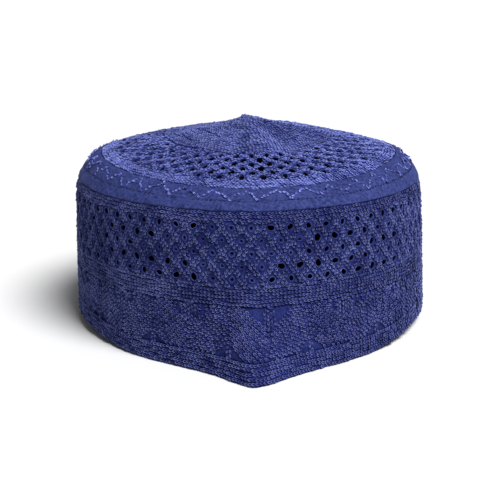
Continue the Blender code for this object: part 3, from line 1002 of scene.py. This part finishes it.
posts = []
for k in range(WAVES):
    middle, at_front = (k + 0.5) * WAVE_RUN, k == 0
    posts += post_guides(middle, BAND_HEIGHT - DIP_DEPTH + POST_FOOT, BAND_HEIGHT - POST_CLEAR,
                         POST_REACHES[:2] if at_front else POST_REACHES, slope=0.7)
    posts += post_guides(k * WAVE_RUN, POST_CLEAR, FOOT_POST_TOP, POST_REACHES[:1])
    for below, reach in () if at_front else LEVEL_ROWS:
        for side in (-1, 1):
            run = middle + side * np.linspace(LEVEL_START, reach, 6)
            posts.append(band_guide(run, np.full(6, BAND_HEIGHT - below)))
band_posts = sew("band_posts", posts, STITCH_PITCH, 0.00140, 0.00027, seed=22)

# %% [markdown]
# ## Lattice and rims of the eyelets
#
# Pairs of chain-stitch lines cross between the eyelets. A second tree lays a round cord along
# closed guides, which makes the eyelets' bound rims.


# %% Lines between the eyelets
APART = 0.19  # half the distance between the two lines of a pair, in half columns


def lattice_guides(lattice, side):
    """Pairs of diagonal lines along the diamonds' sides, leaning one way or the other."""
    ends = [1 + (edge - lattice.first) / lattice.pitch for edge in (lattice.low, lattice.high)]
    up = np.linspace(ends[0], ends[1], 30)
    return [guide(lattice.face, lattice_angle(lattice, 2 * column + 1 + apart + side * up),
                  lattice_place(lattice, up)) for column in range(lattice.columns)
            for apart in (-APART, APART)]


def sew_lattice(name, lattice, width, thread, seed, material):
    """The lines that lean left, and those that lean right."""
    return [sew(name + way, lattice_guides(lattice, side), 0.0017, width, thread, seed + side,
                material, unevenness=0.15) for way, side in (("_left", -1), ("_right", 1))]


side_lattice = sew_lattice("side_lattice", SIDE_LATTICE, 0.00142, 0.00027, 31, THREAD)
# The crown's lattice thread is painted brighter, as light from above.
crown_lattice = sew_lattice("crown_lattice", CROWN_LATTICE, 0.00135, 0.00026, 34, CROWN_THREAD)


# %% The tree that lays a cord, and the rims
RIM_THREAD, RIM_SIDES = 0.00026, 4
RIM_SIZE, SQUEEZED_RIM_SIZE = 1.16, 2.1  # size of a rim as a share of its eyelet's


def cord_tree():
    """Guide lines in, round cords out."""
    graph, given = new_tree("lay_cord", {"Thread": 0.0004, "Sides": 4})
    line = graph.node("GeometryNodeMeshToCurve", [given])
    # Fixed values: the rims get a middle level of the thread's painted highlight and shade.
    for name, value in (("crest_light_and_shade", 0.45), ("chance", 0.3)):
        line = graph.stored(line, name, value)
    section = graph.circle(given.out("Sides"), given.out("Thread"))
    cords = graph.node("GeometryNodeCurveToMesh", {"Curve": line, "Profile Curve": section})
    return end_tree(graph, cords, given.out("Material"))


def rim_guides(lattice):
    """A closed guide just outside every eyelet, and farther out where the eyelet is squeezed."""
    guides = []
    for up in range(1, lattice.rows + 1):
        for across in range(up % 2, 2 * lattice.columns, 2):
            hole = hole_points(lattice, across, up)
            size = RIM_SIZE if openness(lattice, across, up) > 0.6 else SQUEEZED_RIM_SIZE
            angles = lattice_angle(lattice, across + (hole[0] - across) * size)
            places = lattice_place(lattice, up + (hole[1] - up) * size)
            guides.append(guide(lattice.face, angles, places, closed=True))
    return guides


LAY = cord_tree()
side_rims, crown_rims = (
    made_along(name, rim_guides(lattice), LAY, {
        "Thread": RIM_THREAD, "Sides": RIM_SIDES, "Material": THREAD})
    for name, lattice in (("side_rims", SIDE_LATTICE), ("crown_rims", CROWN_LATTICE)))
print("rims:", len(side_rims.data.polygons), "and", len(crown_rims.data.polygons), "faces")

# %% [markdown]
# ## The middle of the crown
#
# The disc is sewn in one long spiral from its rim to the pinched point, as a machine would run it.

# %% The spiral
SPIRAL_PITCH, SPIRAL_MARGIN = 0.00172, 0.0006
turns = (DISC_RADIUS - 2 * SPIRAL_MARGIN) / SPIRAL_PITCH
spiral = np.linspace(0, 360 * turns, int(72 * turns))
radii = DISC_RADIUS - SPIRAL_MARGIN - SPIRAL_PITCH * spiral / 360
# The disc's thread is painted brighter, as light falling on the crown from above.
disc_spiral = sew(
    "disc_spiral", [guide(crown_face, spiral, radii)], STITCH_PITCH, 0.00176, THREAD_RADIUS,
    seed=41, material=DISC_THREAD, unevenness=0.06, overlap=1.2)

# %% [markdown]
# ## Stitches of the tape
#
# A zigzag of thread runs along the upper half of the tape, its colours painted brighter, as light on
# loose thread. Each leg is a guide, so that it starts and ends with a stitch. The line that holds the
# fold is pulled in, and its thread is painted dark, as shade, so it reads as dark dots.

# %% Zigzag and needle line
ZIGZAGS = 38
ZIGZAG_TURN = -5.6  # puts a peak at the front
ZIGZAG_LOW, ZIGZAG_HIGH, NEEDLE_LINE = 0.36, 0.75, 0.300
UNEVEN_TURN, UNEVEN_PLACE = 0.8, 0.035  # how far the corners stray, in degrees and shares
NEEDLE_RISE = 0.0003


def raised(guides, rise):
    return [(points + normals * rise, normals, closed) for points, normals, closed in guides]


corner = np.arange(2 * ZIGZAGS + 1)
uneven = np.sin(2.4 * corner) * (corner < 2 * ZIGZAGS)
turned = ZIGZAG_TURN + 180 / ZIGZAGS * corner + UNEVEN_TURN * uneven
placed = np.where(corner % 2, ZIGZAG_HIGH, ZIGZAG_LOW) + UNEVEN_PLACE * uneven
share = np.linspace(0.04, 0.96, 8)
legs = [guide(tape_face, turned[k] + (turned[k + 1] - turned[k]) * share,
              placed[k] + (placed[k + 1] - placed[k]) * share) for k in range(2 * ZIGZAGS)]
tape_zigzag = sew(
    "tape_zigzag", raised(legs, BURIED), 0.0016, 0.00115, 0.00026,
    seed=51, material=BRIGHT_THREAD, unevenness=0.28)
needle = guide(tape_face, ANGLES, np.full(len(ANGLES), NEEDLE_LINE), closed=True)
tape_needle_line = sew(
    "tape_needle_line", raised([needle], NEEDLE_RISE), 0.0021, 0.0011, 0.00028,
    seed=52, material=NEEDLE_SHADE_THREAD, overlap=0.6)

# %% [markdown]
# ## Floor, light and camera
#
# The cap rests on a pale floor, over a near-black block inside it: painted shade, which shows only
# as black dots in the eyelets. A white sky and one large soft light, from above and a little to the
# front and right, give the photograph's even light. The camera stands where the fit of the
# photograph puts it.

# %% Floor, and the block of painted shade inside the cap
FLOOR_REACH = 20.0
BLOCK_SIDES, BLOCK_FOOT, BLOCK_RADIUS, BLOCK_SHOULDER = 48, 0.0005, 0.079, 0.066
BLOCK_RINGS, BLOCK_CLEARANCE = (0.070, 0.045, 0.020), 0.012


def stage_piece(name, points, faces, colour, roughness):
    """A stage piece in one matte colour."""
    mesh = new_mesh(name, points, faces=faces)
    mesh.materials.append(new_material(name, {
        "Base Color": opaque(colour), "Roughness": roughness, "Specular IOR Level": 0.1})[0])
    new_object(name, mesh)


ends = [(FLOOR_REACH * x, FLOOR_REACH * y, 0) for x, y in ((-1, -1), (1, -1), (1, 1), (-1, 1))]
stage_piece("floor", ends, [(0, 1, 2, 3)], (0.67, 0.67, 0.675), 0.8)
# A near-black block inside the cap, which is painted shade seen only through the eyelets.
turn = np.linspace(-180, 180, BLOCK_SIDES, endpoint=False)
rings = [spot(turn, BLOCK_RADIUS, 0 * turn + z, 0) for z in (BLOCK_FOOT, BLOCK_SHOULDER)]
rings += [crown_face(turn, 0 * turn + r) - (0, 0, BLOCK_CLEARANCE) for r in BLOCK_RINGS]
top = BLOCK_SIDES * (len(rings) - 1)
faces = [tuple(range(top, top + BLOCK_SIDES))]
for low in range(0, top, BLOCK_SIDES):
    for i, after in zip(range(BLOCK_SIDES), (*range(1, BLOCK_SIDES), 0)):
        faces.append((low + i, low + after, low + BLOCK_SIDES + after, low + BLOCK_SIDES + i))
stage_piece("painted_shade_block", np.concatenate(rings), faces, (0.004, 0.004, 0.010), 0.9)

# %% Light
SKY, HORIZON = 0.24, 0.95
KEY_POWER, KEY_SPREAD, KEY_FROM = 4.9, 30.0, (0.42, -0.42, 1.0)
SIDE_SHADE = 0.60  # how much weaker the sky is on the left than on the right

world = bpy.data.worlds.new("pale_sky")
world.use_nodes = True
graph = Graph(world.node_tree)
up = graph.node("ShaderNodeTexCoord", out="Generated")
rise = graph.node("ShaderNodeSeparateXYZ", [up], "Z")
near = 1 - (rise.maths("ABSOLUTE") * 5).maths("MINIMUM", 1.0)
side = rise.out("X") * SIDE_SHADE + 1
brightness = (SKY + near * near * (HORIZON - SKY)) * side
backdrop = world.node_tree.nodes["Background"]
graph.tree.links.new(brightness.socket, backdrop.inputs["Strength"])
backdrop.inputs["Color"].default_value = (1, 1, 1, 1)
bpy.context.scene.world = world
bpy.context.scene.view_settings.view_transform = "Standard"

lamp = bpy.data.lights.new("key", "SUN")
lamp.energy, lamp.angle = KEY_POWER, radians(KEY_SPREAD)
key = new_object("key", lamp)
key.rotation_euler = (-Vector(KEY_FROM)).to_track_quat("-Z", "Y").to_euler()

# %% Camera
CAMERA_PLACE = Vector((0.0016, -0.5537, 0.1845))
CAMERA_AIM = Vector((-0.0004, 0.0073, 0.0300))
LENS = 79.0  # millimetres, on a 36 mm wide sensor

camera = bpy.data.cameras.new("camera")
camera.lens, camera.sensor_width, camera.clip_start = LENS, 36.0, 0.01
viewer = new_object("camera", camera)
viewer.location = CAMERA_PLACE
viewer.rotation_euler = (CAMERA_AIM - CAMERA_PLACE).to_track_quat("-Z", "Y").to_euler()
bpy.context.scene.camera = viewer
print("camera is", round(1000 * (CAMERA_AIM - CAMERA_PLACE).length), "mm from its aim")

# %% [markdown]
# ## Put the pieces on one body, in place of the solids
#
# Each cloth piece stands for one imported solid, and the stitches ride with it. All are on one body,
# because nothing on a cap moves apart from the cloth itself.

# %% Hide each solid and attach its pieces to one body
DRESSED = {
    "hem_band": ("hem_chain_stitch", hem_cloth, hem_chain),
    "side_band": ("band_embroidery", band_cloth, band_waves, band_posts),
    "side_divider": ("divider_chain_stitch", divider_cloth, divider_chain),
    "side_openwork": ("side_eyelet_cloth", side_eyelet_cloth, *side_lattice, side_rims),
    "side_top_border": ("top_border_chain_stitch", top_border_cloth, top_border_chain),
    "shoulder_tape": ("tape_cloth", tape_cloth, tape_zigzag, tape_needle_line),
    "crown_border": ("crown_border_chain_stitch", crown_border_cloth, crown_border_chain),
    "crown_openwork": ("crown_eyelet_cloth", crown_eyelet_cloth, *crown_lattice, crown_rims),
    "crown_disc": ("disc_embroidery", disc_cloth, disc_spiral),
}
for node, (slot, cloth, *stitches) in DRESSED.items():
    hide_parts(node)
    for piece in (cloth, *stitches):
        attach(piece, "root")
